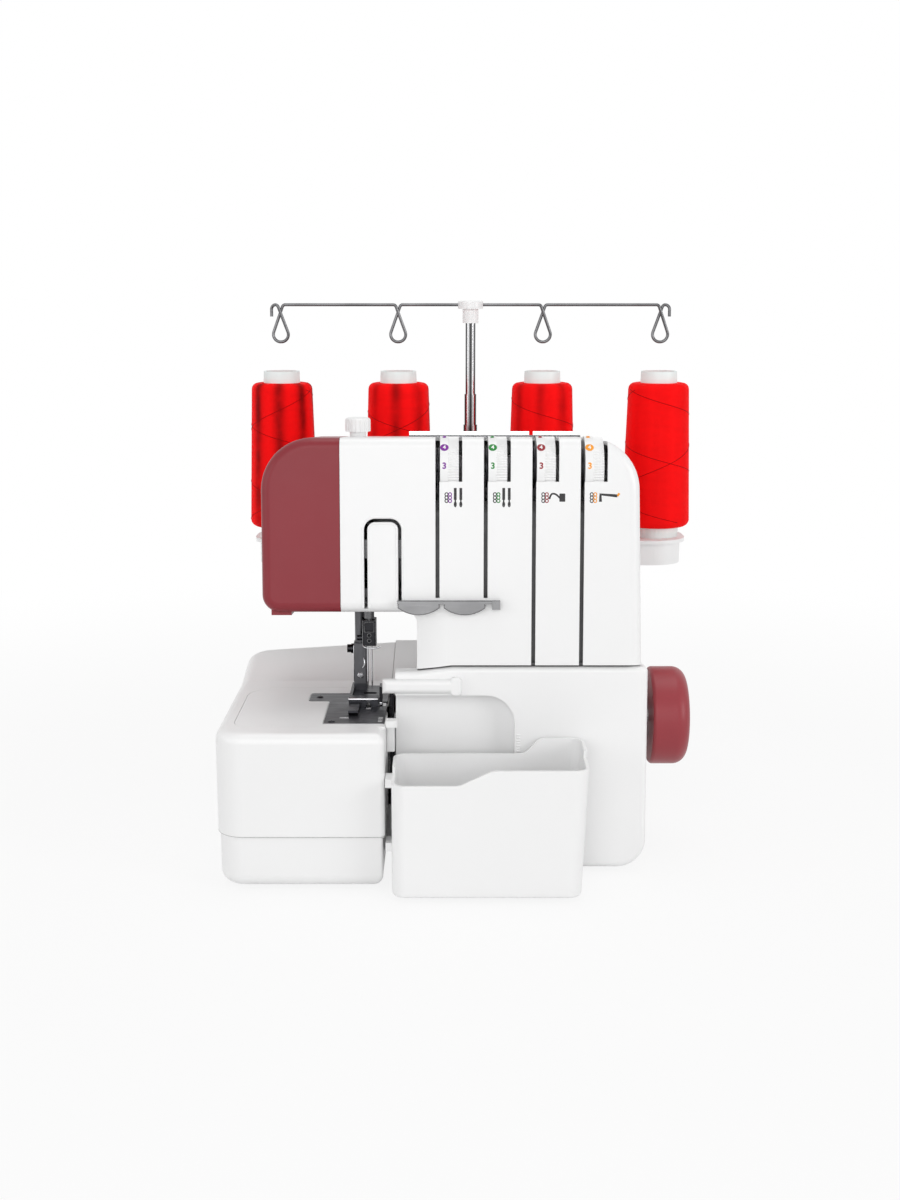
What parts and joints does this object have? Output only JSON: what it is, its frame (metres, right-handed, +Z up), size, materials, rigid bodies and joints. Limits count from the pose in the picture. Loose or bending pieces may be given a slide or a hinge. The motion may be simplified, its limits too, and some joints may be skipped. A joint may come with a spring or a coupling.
{
  "type": "overlock sewing machine",
  "caption": "Overlock sewing machine with leaning tower, sewing arm, thread tension dials, handwheel, waste bin and a rear spool stand carrying thread cones under a telescopic guide.",
  "frame": {"origin": "middle of the machine's footprint box, on the table", "axes": "+X to the sewer's right, +Y to the back, +Z up"},
  "size_m": [0.35, 0.28, 0.394],
  "materials": {
    "white_plastic": "satin moulded shell plastic",
    "red_plastic": "satin dark red shell plastic",
    "red_thread": "cross-wound polyester sewing thread",
    "bright_steel": "ground steel",
    "polished_steel": "polished plating",
    "dark_steel": "dark plated steel",
    "black_plastic": "matte black plastic",
    "rubber": "soft foot and belt rubber",
    "cast_alloy": "as-cast alloy",
    "bronze": "sintered bush",
    "lamp_lens": "frosted lens",
    "motor_paint": "painted motor case"
  },
  "bodies": {
    "machine": {"base_pan": "white_plastic", "rubber_feet": "rubber", "bed_cover": "white_plastic", "cloth_plate": "white_plastic", "needle_plate": "dark_steel", "end_cover": "white_plastic", "main_cover": "white_plastic", "rear_cover": "white_plastic", "face_cover": "red_plastic", "lamp_lens": "lamp_lens", "main_frame": "cast_alloy", "shaft_bushes": "bronze", "bar_bushes": "bronze", "drive_belt": "rubber", "motor": "motor_paint", "presser_spring": "bright_steel", "lower_knife": "bright_steel", "tension_discs": "bright_steel", "thread_channels": "black_plastic", "top_thread_guide": "bright_steel", "low_thread_guide": "bright_steel", "power_inlet": "black_plastic", "spool_tray": "white_plastic", "spool_holders": "white_plastic", "cone_cores": "white_plastic", "thread_cones": "red_thread", "pole_lower": "polished_steel"},
    "handwheel_drive": {"handwheel": "red_plastic", "main_shaft": "bright_steel", "main_pulley": "black_plastic"},
    "motor_pulley": {"motor_pulley": "black_plastic", "motor_rotor": "bright_steel"},
    "needle_bar": {"needle_bar": "polished_steel", "needle_clamp": "polished_steel", "needles": "polished_steel", "thread_takeup": "polished_steel"},
    "presser_bar": {"presser_bar": "polished_steel", "presser_ankle": "dark_steel", "ankle_screw": "polished_steel", "presser_foot": "polished_steel"},
    "presser_lever": {"presser_lever": "bright_steel"},
    "pressure_knob": {"pressure_knob": "white_plastic"},
    "feed_dog": {"feed_dog": "bright_steel"},
    "upper_knife": {"upper_knife": "dark_steel"},
    "upper_looper": {"upper_looper": "bright_steel"},
    "lower_looper": {"lower_looper": "bright_steel"},
    "hem_lever": {"hem_lever": "white_plastic"},
    "tension_dial_1": {"tension_dial_1": "white_plastic"},
    "tension_dial_2": {"tension_dial_2": "white_plastic"},
    "tension_dial_3": {"tension_dial_3": "white_plastic"},
    "tension_dial_4": {"tension_dial_4": "white_plastic"},
    "stitch_length_dial": {"stitch_length_dial": "white_plastic"},
    "feed_dial": {"feed_dial": "white_plastic"},
    "power_switch": {"power_switch": "black_plastic"},
    "looper_cover": {"looper_cover": "white_plastic"},
    "waste_bin": {"waste_bin": "white_plastic"},
    "pole_middle": {"pole_middle": "polished_steel"},
    "pole_upper": {"pole_upper": "polished_steel"},
    "thread_guide": {"pole_cap": "white_plastic", "thread_guide_bar": "polished_steel"}
  },
  "joints": [
    {"name": "handwheel_turn", "type": "hinge", "parent": "machine", "child": "handwheel_drive", "pos_m": [0, -0.024, 0.098], "axis": [1, 0, 0], "continuous": true},
    {"name": "motor_spin", "type": "hinge", "parent": "machine", "child": "motor_pulley", "pos_m": [0, 0.06, 0.044], "axis": [1, 0, 0], "continuous": true},
    {"name": "needle_bar_stroke", "type": "slide", "parent": "machine", "child": "needle_bar", "axis": [0, 0, 1], "range_m": [-0.02, 0.006]},
    {"name": "presser_lever_lift", "type": "hinge", "parent": "machine", "child": "presser_lever", "pos_m": [-0.062, 0, 0.208], "axis": [0, 1, 0], "range_deg": [0, 65]},
    {"name": "presser_bar_lift", "type": "slide", "parent": "machine", "child": "presser_bar", "axis": [0, 0, 1], "range_m": [0, 0.006], "deforming": ["presser_spring"]},
    {"name": "pressure_knob_turn", "type": "hinge", "parent": "machine", "child": "pressure_knob", "pos_m": [-0.0815, -0.012, 0], "axis": [0, 0, 1], "range_deg": [-180, 180]},
    {"name": "feed_dog_shuttle", "type": "slide", "parent": "machine", "child": "feed_dog", "axis": [0, 1, 0], "range_m": [-0.002, 0.002]},
    {"name": "upper_knife_lift", "type": "slide", "parent": "machine", "child": "upper_knife", "axis": [0, 0, 1], "range_m": [0, 0.007]},
    {"name": "upper_looper_swing", "type": "hinge", "parent": "machine", "child": "upper_looper", "pos_m": [-0.05, 0, 0.062], "axis": [0, 1, 0], "range_deg": [-6, 6]},
    {"name": "lower_looper_swing", "type": "hinge", "parent": "machine", "child": "lower_looper", "pos_m": [-0.062, 0, 0.04], "axis": [0, 1, 0], "range_deg": [-3, 6]},
    {"name": "hem_lever_slide", "type": "slide", "parent": "machine", "child": "hem_lever", "axis": [0, 1, 0], "range_m": [0, 0.008]},
    {"name": "tension_dial_1_turn", "type": "hinge", "parent": "machine", "child": "tension_dial_1", "pos_m": [0, -0.0407, 0.28093], "axis": [1, 0, 0], "range_deg": [-120, 120]},
    {"name": "tension_dial_2_turn", "type": "hinge", "parent": "machine", "child": "tension_dial_2", "pos_m": [0, -0.0407, 0.28093], "axis": [1, 0, 0], "range_deg": [-120, 120]},
    {"name": "tension_dial_3_turn", "type": "hinge", "parent": "machine", "child": "tension_dial_3", "pos_m": [0, -0.0407, 0.28093], "axis": [1, 0, 0], "range_deg": [-120, 120]},
    {"name": "tension_dial_4_turn", "type": "hinge", "parent": "machine", "child": "tension_dial_4", "pos_m": [0, -0.0407, 0.28093], "axis": [1, 0, 0], "range_deg": [-120, 120]},
    {"name": "stitch_length_turn", "type": "hinge", "parent": "machine", "child": "stitch_length_dial", "pos_m": [0, 0.034, 0.096], "axis": [1, 0, 0], "range_deg": [-120, 120]},
    {"name": "feed_dial_turn", "type": "hinge", "parent": "machine", "child": "feed_dial", "pos_m": [0, 0.068, 0.096], "axis": [1, 0, 0], "range_deg": [-90, 90]},
    {"name": "power_rocker", "type": "hinge", "parent": "machine", "child": "power_switch", "pos_m": [0.11975, 0, 0.058], "axis": [0, 1, 0], "range_deg": [-6, 6]},
    {"name": "looper_cover_slide", "type": "slide", "parent": "machine", "child": "looper_cover", "axis": [1, 0, 0], "range_m": [0, 0.006]},
    {"name": "waste_bin_pull", "type": "slide", "parent": "machine", "child": "waste_bin", "axis": [0, -1, 0], "range_m": [0, 0.12]},
    {"name": "pole_middle_slide", "type": "slide", "parent": "machine", "child": "pole_middle", "axis": [0, 0, 1], "range_m": [-0.024, 0]},
    {"name": "pole_upper_slide", "type": "slide", "parent": "pole_middle", "child": "pole_upper", "axis": [0, 0, 1], "range_m": [-0.024, 0]},
    {"name": "thread_guide_swivel", "type": "hinge", "parent": "pole_upper", "child": "thread_guide", "pos_m": [0, 0.108, 0], "axis": [0, 0, 1], "range_deg": [-90, 90]}
  ],
  "couplings": [
    {"joint": "motor_spin", "follows": "handwheel_turn", "ratio": 3},
    {"joint": "presser_bar_lift", "follows": "presser_lever_lift", "m_per_rad": 0.00528}
  ]
}
